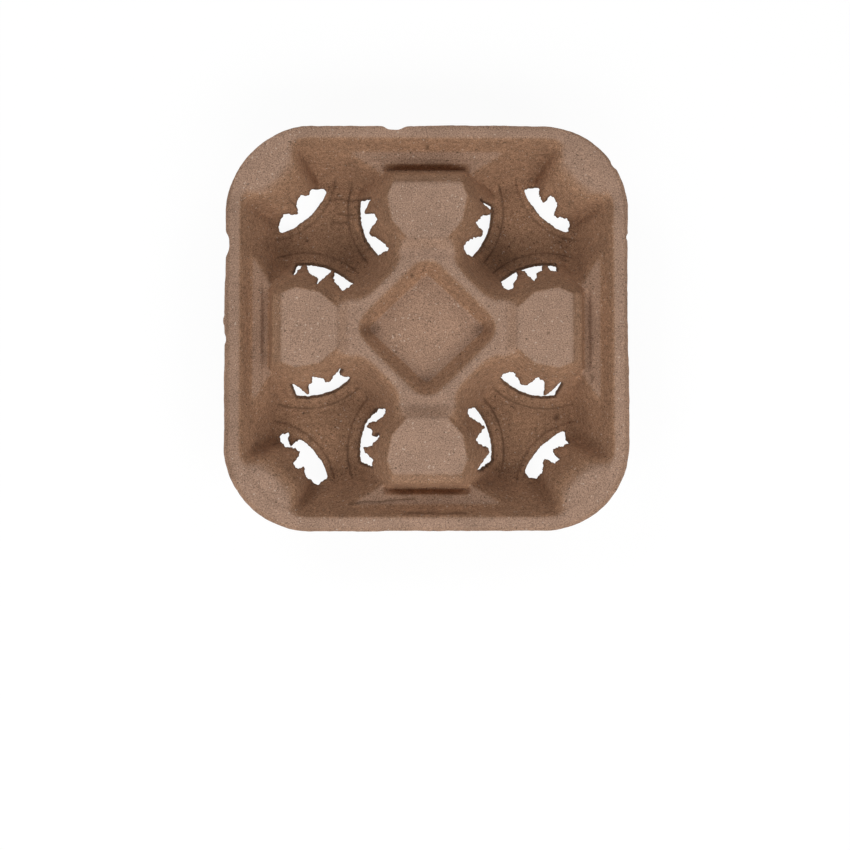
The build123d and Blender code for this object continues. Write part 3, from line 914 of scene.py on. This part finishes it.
def seen_directly(tree):
    """Socket that is 1 for rays from the camera, and for those mirrored or let through on their way, and
    0 for the rest, which only carry light."""
    rays = node(tree, "ShaderNodeLightPath", (-900, 200))
    seen = rays.outputs["Is Camera Ray"]
    for step, kind in enumerate(("Is Glossy Ray", "Is Transmission Ray")):
        either = node(tree, "ShaderNodeMath", (-700 + 200 * step, 200), operation="MAXIMUM")
        tree.links.new(seen, either.inputs[0])
        tree.links.new(rays.outputs[kind], either.inputs[1])
        seen = either.outputs[0]
    return seen


def show_directly(tree, unseen, seen, output):
    """Send one shader to the output for rays that only carry light, and another for those seen."""
    mixed = node(tree, "ShaderNodeMixShader", (100, 0))
    tree.links.new(seen_directly(tree), mixed.inputs[0])
    tree.links.new(unseen.outputs[0], mixed.inputs[1])
    tree.links.new(seen.outputs[0], mixed.inputs[2])
    tree.links.new(mixed.outputs[0], tree.nodes[output].inputs["Surface"])


def make_floor():
    """White floor under the tray. The camera sees it near white, and it takes the tray's shadow."""
    mesh = bpy.data.meshes.new("floor")
    far = FLOOR_HALF
    mesh.from_pydata([(-far, -far, 0), (far, -far, 0), (far, far, 0), (-far, far, 0)], [], [(0, 1, 2, 3)])
    floor = bpy.data.objects.new("floor", mesh)
    floor.location.z = -FLOOR_DROP
    bpy.context.scene.collection.objects.link(floor)
    material = bpy.data.materials.new("white floor")
    material.use_nodes = True
    tree = material.node_tree
    tree.nodes.remove(tree.nodes["Principled BSDF"])
    matt = node(tree, "ShaderNodeBsdfDiffuse", (-300, 0), color=FLOOR_TONE)
    glow = node(tree, "ShaderNodeEmission", (-500, -150), color=WHITE, strength=FLOOR_GLOW)
    shade = node(tree, "ShaderNodeBsdfDiffuse", (-500, -300), color=FLOOR_SHADE)
    white = node(tree, "ShaderNodeAddShader", (-300, -200))
    tree.links.new(glow.outputs[0], white.inputs[0])
    tree.links.new(shade.outputs[0], white.inputs[1])
    show_directly(tree, matt, white, "Material Output")
    mesh.materials.append(material)


def turned(direction):
    """Turn of a lamp or camera that looks back along a direction: its back that way, its right side
    square to +Y, and +Y up in its picture."""
    back = Vector(direction).normalized()
    right = Vector((0, 1, 0)).cross(back).normalized()
    return Matrix((right, back.cross(right), back)).transposed().to_4x4()


def make_lamp(name, place, side, power):
    """Soft square lamp at a place, turned to the tray."""
    lamp = bpy.data.lights.new(name, "AREA")
    lamp.shape = "SQUARE"
    lamp.size = side
    lamp.energy = power
    body = bpy.data.objects.new(name, lamp)
    bpy.context.scene.collection.objects.link(body)
    body.matrix_world = Matrix.Translation(Vector(place)) @ turned(place)


def make_light():
    """Soft studio light: five soft lamps round the tray, the strongest one on the viewer's side, and a
    faint even room that the camera sees as white."""
    world = bpy.data.worlds.new("studio")
    bpy.context.scene.world = world
    world.use_nodes = True
    tree = world.node_tree
    room = tree.nodes["Background"]
    room.inputs["Color"].default_value = WHITE
    room.inputs["Strength"].default_value = ROOM_LIGHT
    wall = node(tree, "ShaderNodeBackground", (-200, -200), color=WHITE, strength=ROOM_SEEN)
    show_directly(tree, room, wall, "World Output")
    for lamp in LAMPS:
        make_lamp(*lamp)


def make_camera():
    """Camera almost straight above, with the tray above the middle of its picture."""
    picture = 850
    away = 0.85
    mm_per_pixel = 0.5315
    right_of_middle, above_middle = 2.2, 97.3
    sight = Vector((-0.019, -0.039, 1)).normalized()
    lens = bpy.data.cameras.new("camera")
    lens.sensor_width = 36
    lens.lens = lens.sensor_width * away / (picture * mm_per_pixel * MM)
    lens.shift_x = -right_of_middle / picture
    lens.shift_y = -above_middle / picture
    camera = bpy.data.objects.new("camera", lens)
    camera.matrix_world = Matrix.Translation(Vector((0, 0, FLANGE_Z * MM)) + sight * away) @ turned(sight)
    bpy.context.scene.collection.objects.link(camera)
    bpy.context.scene.camera = camera


bpy.context.scene.view_settings.view_transform = "Standard"
make_tray()
make_floor()
make_light()
make_camera()
